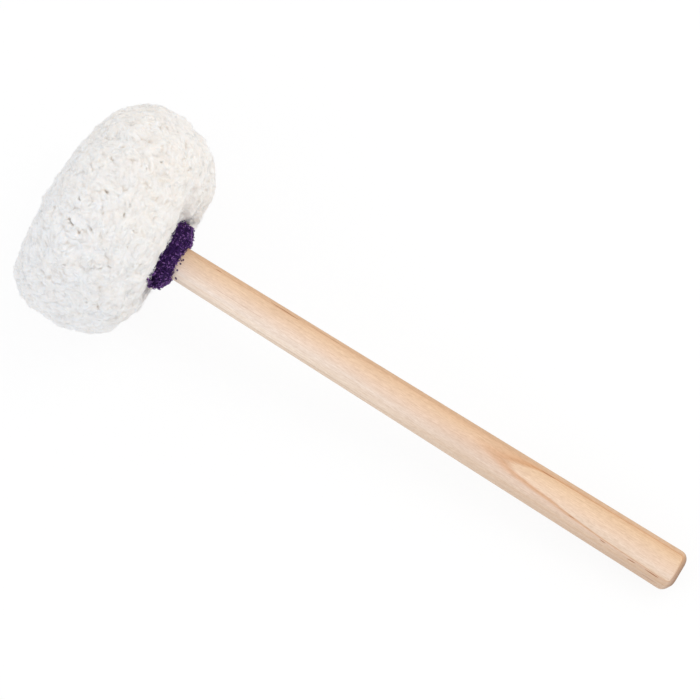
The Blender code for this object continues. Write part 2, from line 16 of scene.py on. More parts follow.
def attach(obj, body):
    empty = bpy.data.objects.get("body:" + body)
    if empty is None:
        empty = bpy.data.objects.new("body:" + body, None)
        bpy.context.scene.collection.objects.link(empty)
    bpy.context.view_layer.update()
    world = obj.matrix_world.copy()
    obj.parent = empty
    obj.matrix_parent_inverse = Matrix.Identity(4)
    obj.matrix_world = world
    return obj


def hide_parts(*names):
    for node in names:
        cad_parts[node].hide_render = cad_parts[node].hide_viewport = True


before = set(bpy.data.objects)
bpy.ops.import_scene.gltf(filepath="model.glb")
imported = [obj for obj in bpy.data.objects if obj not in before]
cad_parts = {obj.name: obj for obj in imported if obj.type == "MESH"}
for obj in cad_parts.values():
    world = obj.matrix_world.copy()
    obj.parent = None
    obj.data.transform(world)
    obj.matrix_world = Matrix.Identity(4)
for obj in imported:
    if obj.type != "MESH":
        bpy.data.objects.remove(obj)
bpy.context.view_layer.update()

# noise_vector starts from the clock unless it is given a seed
noise.seed_set(1)

MM = 0.001

# How the mallet lies: its lean to the butt, and the crown of the far face in the world
LEAN = math.radians(8.516688)
CROWN = Vector((-0.2003035, 0.0, 0.0705569))
LAY = Matrix.Translation(CROWN) @ Matrix.Rotation(LEAN, 4, "Y")

# The camera looks square to the axis, rolled towards the side flat, from two metres away
ROLL = math.radians(10.9)
CAMERA_DISTANCE = 2.0
VIEW_WIDTH = 0.3840
SENSOR = 36.0
AIM_ALONG = 188.2
AIM_ACROSS = 9.2
AXIS_SLOPE = math.radians(32.0)
TO_CAMERA = Vector((0, -math.sin(ROLL), math.cos(ROLL)))
ACROSS = Vector((0, math.cos(ROLL), math.sin(ROLL)))

# Handle, millimetres
BUTT_X = 406.0
BUTT_WIDTH = 22.2
WIDTH_LOST = 0.0142
GRIP_X = 88.575
SHOULDER_X = 60.9
TENON_X = 27.6
TENON_RADIUS = 7.0
CHAMFER = 2.8
EDGE_SOFTNESS = 0.9
BUTT_ROUNDING = 5.2
BUTT_STEPS = 8

# Fleece cover, millimetres: its outline quarters, close to the solid's
HEAD_RADIUS = 66.9
WIDEST_X = 36.6
BULGE_X = 79.2
BULGE_RADIUS = 30.1
THROAT_X = 68.7
THROAT_RADIUS = 20.4
LAP_X = 76.6
LAP_RADIUS = 21.8
NECK_RADIUS = 13.8
NECK_END_X = 82.5
DIP_X = 69.0
GATHERS = 9
FLOOR_GAP = 0.3

# The bag's remeshing and its moment as cloth
VOXEL = 4.6
PUFF_PRESSURE = 4
PUFF_FRAMES = 20
PUFF_CAP = 1.2

# Two layers of tufts: share of the height, size, narrowness, tries and seed
TUFTS = ((0.82, 4.6, 1.0, 8000, 21), (0.27, 2.4, 0.55, 20000, 22))

# The soft lumps under them: height and width; and how far the whole pile is sunk
LUMPS = ((1.6, 17), (1.6, 8))
PILE_SUNK = 0.7

# The deeper gaps in the pile on the upper side: along, across and size, millimetres
SEEN_PITS = (
    (5.9, 1.1, 2.4), (11.3, -13.9, 2.0), (25.5, -12.8, 1.9), (25.4, 28.9, 1.3),
    (21.6, 58.8, 2.2), (33.5, 12.9, 1.3), (37.5, 2.5, 1.5), (49.2, 6.9, 1.1),
    (22.7, 0.3, 1.3), (38.2, -10.3, 1.3), (32.0, -14.7, 1.2), (64.4, 47.1, 1.6),
    (76.2, -28.5, 2.6), (62.7, -44.9, 2.2), (72.5, -44.7, 1.6), (49.8, -27.3, 0.9),
    (52.9, -25.8, 0.9), (57.0, -22.4, 0.8), (59.1, 2.0, 1.1), (55.4, -44.8, 1.0),
)
SCATTERED_PITS = 110
PIT_DEPTH = 2.1
PIT_REACH = 4.5

# The yarn's loose end, a loop that lies on the fleece: along and across, millimetres
YARN_TAIL = (
    (80.0, -10.4), (77.8, -10.9), (75.8, -11.5), (74.2, -12.5), (73.3, -13.9), (73.4, -15.3),
    (74.5, -16.4), (76.2, -17.2), (78.0, -17.6), (80.0, -16.8),
)

# Corners the pile fills out, or draws in if negative: along, across, how much, how far, in mm
FULLER_CORNERS = (
    (8.0, -56.0, 2.2, 18.0),
    (66.0, -54.0, 1.2, 14.0),
    (9.0, 50.0, 1.0, 13.0),
    (27.0, 64.0, -1.9, 12.0),
    (52.0, -63.0, 1.2, 12.0),
    (3.0, -14.0, -1.3, 10.0),
)

# Yarn collar, millimetres: (radius, along) at each turn, from the wood to the head and back
YARN_RADIUS = 1.55
YARN_TURNS = (
    (11.0, 80.2), (11.0, 82.5), (12.6, 82.9), (15.3, 81.2), (15.4, 78.8), (15.4, 76.0),
    (15.4, 73.4), (15.8, 71.0), (18.0, 71.9), (18.4, 74.4), (18.5, 77.0), (18.3, 79.7),
    (16.9, 81.8),
)
STEPS_PER_TURN = 40
COLLAR_RADIUS = 19.8
TAIL_GIRTH = 0.45
TAIL_REACH = 13.0
CURL_STEPS = 7

# Bits of fuzz on the wood beside the collar: along, across and size in millimetres
STRAY_BITS = (
    (85.0, 1.0, 0.5), (84.4, 0.1, 0.3), (84.8, -1.7, 0.45), (85.2, -5.7, 0.5),
    (86.5, -8.7, 0.55), (87.2, -9.3, 0.3),
)

# Dark streaks and flecks of the maple: (x, y, z), half length, width and depth, and strength
STREAKS = (
    ((118.0, -3.2, 10.3), 44.0, 0.30, 1.6, 0.42),
    ((150.0, -10.3, 1.7), 90.0, 1.6, 0.9, 0.22),
    ((122.0, 5.0, 10.3), 22.0, 0.30, 1.6, 0.08),
    ((96.0, 2.4, 10.3), 12.0, 0.40, 1.6, 0.06),
    ((160.0, 3.2, 10.3), 20.0, 0.35, 1.6, 0.07),
    ((118.0, 6.3, 8.9), 42.0, 0.30, 1.6, 0.20),
    ((205.0, 7.4, 9.2), 60.0, 0.28, 1.6, 0.16),
    ((147.0, 6.9, 9.0), 10.4, 0.32, 1.6, 0.75),
    ((173.5, 7.5, 8.6), 12.6, 0.30, 1.6, 0.35),
    ((104.5, 6.4, 8.9), 2.0, 0.30, 1.6, 0.60),
    ((316.2, 7.0, 10.4), 5.2, 0.30, 1.6, 0.70),
    ((338.9, -6.0, 10.6), 2.2, 0.22, 1.6, 0.80),
    ((360.3, -8.4, 10.35), 2.2, 0.22, 1.6, 0.80),
    ((379.2, -9.1, 9.9), 3.0, 0.22, 1.6, 0.85),
    ((392.3, -9.1, 10.0), 5.0, 0.26, 1.6, 0.95),
    ((393.0, -11.0, 3.2), 5.5, 1.5, 1.3, 0.50),
    ((300.0, 10.4, -3.0), 9.0, 1.5, 0.28, 0.45),
    ((210.0, -9.7, -4.0), 12.0, 1.5, 0.26, 0.35),
    ((150.0, 2.0, -9.3), 8.0, 0.30, 1.6, 0.50),
    ((352.0, -4.0, -10.7), 6.0, 0.30, 1.6, 0.60),
)


def half_width(x):
    """Half the handle's width across its flats at this distance from the crown."""
    return (BUTT_WIDTH - WIDTH_LOST * (BUTT_X - max(x, GRIP_X))) / 2


def deselect():
    if bpy.context.object and bpy.context.object.mode != "OBJECT":
        bpy.ops.object.mode_set(mode="OBJECT")
    bpy.ops.object.select_all(action="DESELECT")


def choose(piece):
    """Makes the piece the only one selected, and the active one."""
    deselect()
    bpy.context.view_layer.objects.active = piece
    piece.select_set(True)


def open_edit(piece, kind, wanted):
    """Edit mode on the piece with only the faces or edges selected that are wanted."""
    choose(piece)
    bpy.ops.object.mode_set(mode="EDIT")
    bpy.ops.mesh.select_mode(type=kind)
    bpy.ops.mesh.select_all(action="DESELECT")
    shape = bmesh.from_edit_mesh(piece.data)
    for item in shape.edges if kind == "EDGE" else shape.faces:
        item.select = wanted(item)
    shape.select_flush_mode()
    bmesh.update_edit_mesh(piece.data)


def close_edit():
    bpy.ops.object.mode_set(mode="OBJECT")


def extrude(length):
    """Extrudes what is selected along the mallet's axis."""
    bpy.ops.mesh.extrude_region_move(TRANSFORM_OT_translate={"value": (length, 0, 0)})


def widen(share, x):
    """Scales what is selected square to the mallet's axis."""
    bpy.ops.transform.resize(value=(1, share, share), center_override=(x, 0, 0))


def subdivide(piece, levels):
    finer = piece.modifiers.new("finer", "SUBSURF")
    finer.levels = finer.render_levels = levels
    choose(piece)
    bpy.ops.object.modifier_apply(modifier="finer")


def lay(piece):
    """Puts a piece that was shaped in millimetres on the mallet's axis where the CAD has it."""
    piece.data.transform(LAY @ Matrix.Scale(MM, 4))
    piece.data.update()
    return piece


def mesh_piece(name, points, faces):
    data = bpy.data.meshes.new(name)
    data.from_pydata(points, [], faces)
    data.update()
    piece = bpy.data.objects.new(name, data)
    bpy.context.scene.collection.objects.link(piece)
    return piece


def smooth(low, high, value):
    """0 below low, 1 above high, and an even rise between them."""
    share = min(1.0, max(0.0, (value - low) / (high - low)))
    return share * share * (3 - 2 * share)


# Handle


def model_handle():
    """The bar: chamfered, tapered from the grip, with a rounded butt and a tenon in the core."""
    deselect()
    length = BUTT_X - BUTT_ROUNDING - SHOULDER_X
    middle = (SHOULDER_X + BUTT_X - BUTT_ROUNDING) / 2
    bpy.ops.mesh.primitive_cube_add(size=1, location=(middle, 0, 0))
    bar = bpy.context.object
    bar.name = bar.data.name = "maple_handle"
    neck = 2 * half_width(SHOULDER_X)
    bar.scale = (length, neck, neck)
    bpy.ops.object.transform_apply(location=True, rotation=False, scale=True)
    open_edit(bar, "FACE", lambda f: True)
    bpy.ops.mesh.bisect(plane_co=(GRIP_X, 0, 0), plane_no=(1, 0, 0))
    close_edit()
    open_edit(bar, "FACE", lambda f: f.normal.x > 0.9)
    widen(half_width(BUTT_X - BUTT_ROUNDING) / half_width(SHOULDER_X), BUTT_X)
    close_edit()
    for offset, segments in ((CHAMFER, 1), (EDGE_SOFTNESS, 3)):
        open_edit(bar, "EDGE", lambda e: abs(e.verts[0].co.x - e.verts[1].co.x) > 1)
        bpy.ops.mesh.bevel(offset=offset, segments=segments, affect="EDGES", clamp_overlap=False)
        close_edit()
    open_edit(bar, "FACE", lambda f: f.normal.x > 0.9)
    full = half_width(BUTT_X)
    last_x, last_half = 0.0, full
    for step in range(1, BUTT_STEPS + 1):
        turn = math.pi / 2 * step / BUTT_STEPS
        next_x = BUTT_ROUNDING * math.sin(turn)
        next_half = full - BUTT_ROUNDING * (1 - math.cos(turn))
        extrude(next_x - last_x)
        widen(next_half / last_half, BUTT_X)
        last_x, last_half = next_x, next_half
    close_edit()
    open_edit(bar, "FACE", lambda f: f.normal.x < -0.9)
    extrude(0)
    widen(TENON_RADIUS / half_width(SHOULDER_X), SHOULDER_X)
    extrude(TENON_X - SHOULDER_X)
    close_edit()
    bpy.ops.object.shade_smooth_by_angle(angle=math.radians(28))
    deselect()
    return lay(bar)


# Fleece


def bezier(start, start_pull, end_pull, end, t):
    """The point at t of a cubic curve between two (x, radius) points."""
    weights = ((1 - t) ** 3, 3 * t * (1 - t) ** 2, 3 * t**2 * (1 - t), t**3)
    pulls = (start, start_pull, end_pull, end)
    return tuple(sum(w * p[i] for w, p in zip(weights, pulls)) for i in (0, 1))


def cover_outline(u):
    """(x, radius) of the cover's skin, from the crown at u = 0 to the end of the neck at 1."""
    crown, widest = (0.0, 0.0), (WIDEST_X, HEAD_RADIUS)
    bulge = (BULGE_X, BULGE_RADIUS)
    if u < 0.45:
        pulls = (0.0, HEAD_RADIUS * 0.61), (WIDEST_X * 0.26, HEAD_RADIUS)
        return bezier(crown, *pulls, widest, u / 0.45)
    if u < 0.8:
        near_pull = BULGE_RADIUS + (HEAD_RADIUS - BULGE_RADIUS) * 0.513
        pulls = (WIDEST_X + (BULGE_X - WIDEST_X) * 0.643, HEAD_RADIUS), (BULGE_X, near_pull)
        return bezier(widest, *pulls, bulge, (u - 0.45) / 0.35)
    if u < 0.9:
        pulls = (BULGE_X, BULGE_RADIUS - 4.5), (LAP_X + 1.2, LAP_RADIUS + 0.8)
        return bezier(bulge, *pulls, (LAP_X, LAP_RADIUS), (u - 0.8) / 0.1)
    if u < 0.93:
        share = (u - 0.9) / 0.03
        if share < 0.6:
            share /= 0.6
            radius = LAP_RADIUS + (THROAT_RADIUS - LAP_RADIUS) * share
            return (LAP_X + (THROAT_X - LAP_X) * share, radius)
        return (THROAT_X, THROAT_RADIUS + (NECK_RADIUS - THROAT_RADIUS) * (share - 0.6) / 0.4)
    if u < 0.98:
        return (THROAT_X + (NECK_END_X - THROAT_X) * (u - 0.93) / 0.05, NECK_RADIUS)
    return (NECK_END_X, NECK_RADIUS * (1 - (u - 0.98) / 0.02))


def cover_point(u, turn):
    """The skin at u and this turn round the axis: lopsided, gathered, dipped over the collar."""
    x, radius = cover_outline(u)
    out = Vector((0, math.cos(turn), math.sin(turn)))
    near = smooth(WIDEST_X, BULGE_X, x) * smooth(THROAT_RADIUS - 1, BULGE_RADIUS, radius)
    x += 2.2 * (1 - smooth(2, WIDEST_X, x))
    x += 1.2 * near * out.dot(ACROSS)
    if x > DIP_X and radius > THROAT_RADIUS:
        facing = max(0.0, out.dot(TO_CAMERA))
        upper = max(0.0, out.dot(ACROSS + TO_CAMERA) / math.sqrt(2)) ** 4
        upper *= min(1.0, 1.6 * facing)
        by_tail = smooth(0.90, 0.99, out.dot(TO_CAMERA * 0.65 - ACROSS * 0.76))
        x -= (x - DIP_X) * (0.25 * facing**1.3 + 0.62 * upper + 0.12 * by_tail)
    folds = (1 - math.cos(GATHERS * turn + 0.7 * math.sin(2 * turn))) / 2
    x -= 1.6 * folds * near * smooth(BULGE_RADIUS + 22, BULGE_RADIUS, radius)
    if x > DIP_X and LAP_RADIUS - 1 < radius < BULGE_RADIUS + 8:
        x += 0.9 * math.sin(11 * turn + 1.0) * math.sin(4 * turn)
    point = Vector((x, 0, 0)) + out * radius
    lopsided = 3.0 * (smooth(2, 36, x) - 0.35 * smooth(40, 80, x))
    if radius > THROAT_RADIUS:
        point += ACROSS * lopsided * smooth(THROAT_RADIUS, THROAT_RADIUS + 8, radius)
    for place, side, fuller, reach in FULLER_CORNERS:
        away = math.hypot(point.x - place, point.dot(ACROSS) - side) / reach
        outwards = Vector((place - WIDEST_X, 0, 0)) + ACROSS * side
        point += outwards.normalized() * fuller * math.exp(-away * away)
    return point


def settle_on_floor(point):
    """Presses a point of the pile, in metres in the world, onto the floor."""
    gap = FLOOR_GAP * MM
    if point.z < 3 * gap:
        point.z = gap + max(0.0, point.z - gap) * 0.4


def model_cover():
    """The cover's smooth bag: a ball drawn to the outline and remeshed."""
    deselect()
    bpy.ops.mesh.primitive_uv_sphere_add(segments=72, ring_count=56, radius=1)
    bag = bpy.context.object
    bag.name = bag.data.name = "fleece"
    for vert in bag.data.vertices:
        height = max(-1.0, min(1.0, vert.co.z))
        turn = math.atan2(vert.co.y, vert.co.x)
        vert.co = cover_point(math.acos(height) / math.pi, turn)
    open_edit(bag, "FACE", lambda f: True)
    bpy.ops.mesh.normals_make_consistent(inside=False)
    close_edit()
    bag.data.remesh_voxel_size = VOXEL
    bpy.ops.object.voxel_remesh()
    deselect()
    return bag


def puff(bag):
    """Lets air pressure fill the bag as cloth for a moment, with the gathered neck held."""
    bag.data.transform(Matrix.Scale(MM, 4))
    start = [vert.co.copy() for vert in bag.data.vertices]
    held = bag.vertex_groups.new(name="held")
    for vert in bag.data.vertices:
        radius = math.hypot(vert.co.y, vert.co.z) / MM
        x = vert.co.x / MM
        grip = 1 - smooth(BULGE_RADIUS, BULGE_RADIUS + 14, radius) if x > 55 else 0.0
        held.add([vert.index], grip, "REPLACE")
    cloth = bag.modifiers.new("cloth", "CLOTH")
    cloth.settings.use_pressure = True
    cloth.settings.uniform_pressure_force = PUFF_PRESSURE
    cloth.settings.effector_weights.gravity = 0
    cloth.settings.vertex_group_mass = "held"
    cloth.point_cache.frame_start = 1
    cloth.point_cache.frame_end = PUFF_FRAMES
    for number in range(1, PUFF_FRAMES + 1):
        bpy.context.scene.frame_set(number)
    grown = bag.evaluated_get(bpy.context.evaluated_depsgraph_get()).to_mesh()
    moved = [vert.co.copy() for vert in grown.vertices]
    bag.evaluated_get(bpy.context.evaluated_depsgraph_get()).to_mesh_clear()
    bag.modifiers.remove(cloth)
    bpy.context.scene.frame_set(1)
    cap = PUFF_CAP * MM
    for vert, old, new in zip(bag.data.vertices, start, moved):
        step = new - old
        if step.length > cap:
            step *= cap / step.length
        vert.co = old + step
    bag.vertex_groups.clear()
    bag.data.transform(Matrix.Scale(1 / MM, 4))


def swirl(point, normal):
    """The way the wool lies at a point of the skin, in slow turns."""
    drift = noise.noise_vector(point / 10) + Vector((0.15, 0.1, -0.1))
    combed = 0.6 * (1 - smooth(22, 48, point.x))
    drift += combed * Vector((1, 0, 0)).cross(normal)
    way = normal.cross(drift)
    if way.length < 0.0001:
        way = normal.orthogonal()
    return way.normalized()


def tuft_places(data, spacing, tries, seed):
    """Vertices spread over the skin, few of them closer than the spacing, for tufts to lie on."""
    draw = random.Random(seed)
    taken = {}
    picked = []
    for index in draw.sample(range(len(data.vertices)), tries):
        point = data.vertices[index].co
        cell = tuple(int(math.floor(value / spacing)) for value in point)
        if all((other - point).length > spacing for other in taken.get(cell, ())):
            taken.setdefault(cell, []).append(point.copy())
            picked.append(index)
    return picked


def raise_tufts(data, points, tree, size, narrow, tries, seed):
    """The pile's height over the skin: locks that lap over each other, each with a blunt tip."""
    draw = random.Random(seed)
    height = np.full(len(points), -1.0)
    for index in tuft_places(data, 1.15 * size, tries, seed):
        vert = data.vertices[index]
        normal = vert.normal.copy()
        way = swirl(vert.co, normal)
        way.rotate(Matrix.Rotation(draw.gauss(0, 0.6), 3, normal))
        side = normal.cross(way)
        long = size * draw.uniform(1.8, 3.0)
        wide = size * narrow * draw.uniform(0.55, 0.95)
        proud = draw.uniform(0.1, 1.0)
        tip = draw.uniform(0.2, 0.8)
        curve = draw.uniform(-1.2, 1.2) / narrow
        found = tree.find_range(vert.co, 0.55 * long)
        which = np.fromiter((item[1] for item in found), int, len(found))
        away = points[which] - np.array(vert.co)
        along = away @ np.array(way) / long + 0.5
        across = away @ np.array(side) / wide - curve * (along - 0.5) ** 2
        edge = 0.55 + 0.45 * np.sin(np.pi * np.clip(along, 0, 1))
        edge -= tip * np.clip(along - 0.7, 0, 1)
        round_over = np.sqrt(np.clip(1 - (across / edge) ** 2, 0, 1))
        rise = np.clip(along / 0.6, 0, 1)
        fall = np.clip((1 - along) / 0.24, 0, 1)
        body = rise * (2 - rise) * np.sqrt(fall) * round_over
        fibres = 0.11 * np.sin(across * wide * 4.2 + draw.uniform(0, 6)) * body
        level = -1.0 + (1.0 + proud) * body + fibres
        height[which] = np.maximum(height[which], level)
    return height


def dark_pits(points):
    """Places of the deeper gaps in the pile: those on the upper side, the rest scattered."""
    draw = random.Random(11)
    sides = points @ np.array(ACROSS)
    rises = points @ np.array(TO_CAMERA)
    pits = []
    for x, side, size in SEEN_PITS:
        hidden = (np.abs(points[:, 0] - x) > 0.8) | (np.abs(sides - side) > 0.8)
        pits.append((Vector(points[np.argmax(np.where(hidden, -1e3, rises))]), size))
    for _ in range(SCATTERED_PITS):
        place = cover_point(0.08 + 0.6 * draw.random(), math.tau * draw.random())
        pits.append((place, draw.uniform(0.4, 0.9)))
    return pits


def sink_pits(height, points, tree):
    """Sinks the pile at each pit: a ragged gap, longer the way the wool lies."""
    for place, size in dark_pits(points):
        nearest = tree.find(place)[0]
        way = swirl(place, Vector((0, nearest.y, nearest.z)).normalized())
        for point, index, _ in tree.find_range(nearest, PIT_REACH):
            away = point - nearest + 1.2 * noise.noise_vector(point / 1.5)
            along = away.dot(way)
            across = (away - way * along).length
            away = (along / (1.7 * size)) ** 2 + (across / (0.5 * size)) ** 2
            height[index] -= PIT_DEPTH * math.exp(-away)


def fluff(bag):
    """Subdivides the bag and raises the pile on it; the hollows between tufts are marked for
    painted shade.
    """
    subdivide(bag, 3)
    data = bag.data
    count = len(data.vertices)
    points = np.empty(3 * count)
    data.vertices.foreach_get("co", points)
    points = points.reshape(-1, 3)
    tree = kdtree.KDTree(count)
    for index, vert in enumerate(data.vertices):
        tree.insert(vert.co, index)
    tree.balance()
    height = sum(share * raise_tufts(data, points, tree, *layer) for share, *layer in TUFTS)
    sink_pits(height, points, tree)
    # Painted shade: how deep each point lies in the pile, and a little on the fleece tucked by the
    # collar, is kept so the material can paint these places darker.
    depth = []
    for vert, above in zip(data.vertices, height.tolist()):
        radius = math.hypot(vert.co.y, vert.co.z)
        pile = smooth(NECK_RADIUS + 3, THROAT_RADIUS + 1, radius) if vert.co.x > 60 else 1.0
        roll = sum(rise * noise.noise(vert.co / wide) for rise, wide in LUMPS)
        painted_collar_shade = 0.0
        if vert.co.x > 66:
            painted_collar_shade = 0.2 * smooth(BULGE_RADIUS + 7, BULGE_RADIUS - 4, radius)
        depth.append(max(1 - smooth(-2.1, 0.4, above), painted_collar_shade) if pile > 0 else 0.0)
        points[vert.index] += np.array(vert.normal) * (above + roll - PILE_SUNK) * pile
    data.vertices.foreach_set("co", points.ravel())
    hollow_shade = data.attributes.new("hollow_shade", "FLOAT", "POINT")
    hollow_shade.data.foreach_set("value", depth)
    data.update()
    lay(bag)
    for vert in data.vertices:
        settle_on_floor(vert.co)
    choose(bag)
    bpy.ops.object.shade_smooth()
    deselect()


def comb_strands(bag, name, count, seed, fringe=False):
    """Loose strands of wool that lie and curl on the pile, each a thin closed spindle.

    The fringe is the pile that laps over the collar, so it stays by the throat and stands prouder.
    """
    draw = random.Random(seed)
    data = bag.data
    back = LAY.inverted()
    points, faces = [], []
    while len(faces) < count * 12:
        face = data.polygons[draw.randrange(len(data.polygons))]
        centre = back @ face.center / MM
        normal = (back.to_3x3() @ face.normal).normalized()
        radius = math.hypot(centre.y, centre.z)
        by_collar = centre.x > 64 and THROAT_RADIUS - 2 < radius < BULGE_RADIUS + 5
        if face.center.z < 2 * MM or radius < THROAT_RADIUS - 2 or (fringe and not by_collar):
            continue
        way = swirl(centre, normal)
        way = (way + 0.25 * Vector([draw.uniform(-1, 1) for _ in range(3)])).normalized()
        side = normal.cross(way).normalized()
        length = draw.uniform(2.5, 5.5)
        thick = draw.uniform(0.05, 0.12)
        curl = draw.uniform(-1.6, 1.6)
        lift = draw.uniform(0.0, 0.5) + (draw.uniform(0.2, 1.3) if fringe else 0.0)
        line = []
        for k in range(5):
            s = k / 4
            angle = curl * (s - 0.5)
            run = way * math.cos(angle) + side * math.sin(angle)
            rise = lift * math.sin(math.pi * s) - 0.15
            line.append(centre + run * length * (s - 0.5) + normal * rise)
        first = len(points)
        points.append(line[0])
        for k in (1, 2, 3):
            girth = thick * (1.0 if k == 2 else 0.8)
            for corner in range(3):
                turn = math.tau * corner / 3 + 0.5 * k
                points.append(line[k] + (side * math.cos(turn) + normal * math.sin(turn)) * girth)
        points.append(line[4])
        last = len(points) - 1
        for corner in range(3):
            after = (corner + 1) % 3
            faces.append((first, first + 1 + corner, first + 1 + after))
            for row in (0, 1):
                low, high = first + 1 + 3 * row, first + 4 + 3 * row
                faces.append((low + corner, high + corner, high + after, low + after))
            faces.append((last, last - 3 + after, last - 3 + corner))
    strands = mesh_piece(name, [LAY @ (point * MM) for point in points], faces)
    for vert in strands.data.vertices:
        settle_on_floor(vert.co)
    finish_normals(strands)
    return strands


def finish_normals(piece):
    """Turns the faces outwards and shades them smooth."""
    shape = bmesh.new()
    shape.from_mesh(piece.data)
    bmesh.ops.recalc_face_normals(shape, faces=shape.faces)
    shape.to_mesh(piece.data)
    shape.free()
    piece.data.shade_smooth()


# Yarn collar


def yarn_route():
    """The yarn's line: round the wood at the butt end, a layer to the head, and a layer back."""
    route = []
    for k in range((len(YARN_TURNS) - 1) * STEPS_PER_TURN + 1):
        turn = k / STEPS_PER_TURN
        i = min(int(turn), len(YARN_TURNS) - 2)
        share = smooth(0, 1, turn - i) * 0.5 + (turn - i) * 0.5
        radius, x = (a + (b - a) * share for a, b in zip(YARN_TURNS[i], YARN_TURNS[i + 1]))
        angle = math.tau * turn
        out = Vector((0, math.cos(angle), math.sin(angle)))
        wobble = noise.noise_vector(Vector((x, radius * out.y, radius * out.z)) / 7)
        if radius < 14:
            flat = 1 / max(abs(out.y), abs(out.z))
            radius *= min(flat, 1.22) * 0.93
        point = Vector((x, 0, 0)) + out * radius + 0.5 * wobble
        side = point.dot(ACROSS)
        point.x += 0.01 * min(side, 0.0) - 0.065 * max(side, 0.0)
        point.x -= 1.2 * (1 - smooth(3, 9, abs(side))) * smooth(15, 11, radius)
        point += ACROSS * 0.6 * smooth(14, 18, radius)
        route.append(point)
    return route


def tail_line(cover):
    """The loose end's line, laid on whichever stands higher of the cover and the collar."""
    line = []
    for start, end in zip(YARN_TAIL, YARN_TAIL[1:]):
        for share in (0.0, 0.25, 0.5, 0.75):
            x, side = (a + (b - a) * share for a, b in zip(start, end))
            base = Vector((x, 0, 0)) + ACROSS * side
            above = LAY @ ((base + TO_CAMERA * 80) * MM)
            hit, place, _, _ = cover.ray_cast(above, LAY.to_3x3() @ -TO_CAMERA)
            collar = math.sqrt(COLLAR_RADIUS**2 - side**2)
            rise = collar if x > 75 else 0.0
            if hit:
                rise = max(rise, (LAY.inverted() @ place / MM).dot(TO_CAMERA))
            line.append(base + TO_CAMERA * (min(rise, collar + TAIL_REACH) + 0.5))
    for _ in range(3):
        line[1:-1] = [(a + b + c) / 3 for a, b, c in zip(line, line[1:], line[2:])]
    return line


def model_yarn(cover):
    """The wound yarn: one lumpy tube along its route, and its loose end."""
    curve = bpy.data.curves.new("collar_yarn", "CURVE")
    curve.dimensions = "3D"
    curve.bevel_depth = YARN_RADIUS
    curve.bevel_resolution = 2
    curve.use_fill_caps = True
    for line, girth in ((yarn_route(), 1.0), (tail_line(cover), TAIL_GIRTH)):
        spline = curve.splines.new("POLY")
        spline.points.add(len(line) - 1)
        for place, point in zip(spline.points, line):
            place.co = (*point, 1)
            place.radius = girth
    tube = bpy.data.objects.new("collar_yarn", curve)
    bpy.context.scene.collection.objects.link(tube)
    choose(tube)
    bpy.ops.object.convert(target="MESH")
    tube = bpy.context.object
    subdivide(tube, 1)
    for vert in tube.data.vertices:
        point = vert.co
        lump = 0.65 * noise.noise(point / 2.6) + 0.35 * noise.noise(point / 1.1)
        vert.co = point + vert.normal * lump
    bpy.ops.object.shade_smooth()
    deselect()
    return tube


def one_curl(radius, thick, arc):
    """Points and faces of a small open curl of yarn about its own Z."""
    points, faces = [], []
    for k in range(CURL_STEPS + 1):
        angle = arc * k / CURL_STEPS
        out = Vector((math.cos(angle), math.sin(angle), 0))
        girth = thick * (1 if 0 < k < CURL_STEPS else 0.35)
        for corner in range(3):
            turn = math.tau * corner / 3
            rim = Vector((0, 0, girth * math.sin(turn)))
            points.append(out * (radius + girth * math.cos(turn)) + rim)
    for k in range(CURL_STEPS):
        for corner in range(3):
            after = (corner + 1) % 3
            low, high = 3 * k, 3 * k + 3
            faces.append((low + corner, low + after, high + after, high + corner))
    end = 3 * CURL_STEPS
    faces += [(2, 1, 0), (end, end + 1, end + 2)]
    return points, faces


def curly_fuzz(tube, name, count, seed):
    """Small curls all over the wound yarn, and a few bits on the wood, with a tone for each."""
    draw = random.Random(seed)
    polygons = list(tube.data.polygons)
    areas = []
    for face in polygons:
        out = Vector((0, face.center.y, face.center.z)).normalized()
        open_side = face.normal.dot(out) > -0.2 or abs(face.normal.x) > 0.5 or face.center.x > 84
        areas.append(face.area if open_side else 0.0)
    points, faces, tones = [], [], []

    def put(curl, rings, place, turned, tone):
        first = len(points)
        points.extend(place + turned @ point for point in curl)
        faces.extend(tuple(first + i for i in ring) for ring in rings)
        tones.extend([tone] * len(curl))

    for face in draw.choices(polygons, weights=areas, k=count):
        radius = draw.uniform(0.4, 0.9)
        curl, rings = one_curl(radius, draw.uniform(0.19, 0.30), draw.uniform(2.8, 5.6))
        tilt = face.normal.orthogonal().normalized()
        tilt.rotate(Matrix.Rotation(draw.uniform(0, math.tau), 3, face.normal))
        axis = (tilt + 0.7 * draw.uniform(-1, 1) * face.normal).normalized()
        turned = axis.to_track_quat("Z", "Y").to_matrix()
        turned = turned @ Matrix.Rotation(draw.uniform(0, math.tau), 3, "Z")
        place = face.center + face.normal * draw.uniform(-0.1, 0.45)
        put(curl, rings, place, turned, draw.random())
    for along, across, size in STRAY_BITS:
        place = Vector((along, 0, 0)) + ACROSS * across
        if across > -8:
            place.z = half_width(along) + 0.25
        else:
            place += Vector((0, -0.4, 7.0))
        for _ in range(5):
            curl, rings = one_curl(size * draw.uniform(0.3, 0.9), 0.2, draw.uniform(3.4, 5.9))
            spin = Matrix.Rotation(draw.uniform(0, math.tau), 3, "Z")
            spin = spin @ Matrix.Rotation(draw.uniform(-0.9, 0.9), 3, "X")
            put(curl, rings, place, spin, draw.random() * 0.4)
    fuzz = mesh_piece(name, points, faces)
    finish_normals(fuzz)
    tone = fuzz.data.attributes.new("tone", "FLOAT", "POINT")
    tone.data.foreach_set("value", tones)
    return fuzz


# Materials


def set_values(node, **values):
    """Sets the node's own input sockets; an underscore in a name stands for a space."""
    for label, value in values.items():
        node.inputs[label.replace("_", " ")].default_value = value


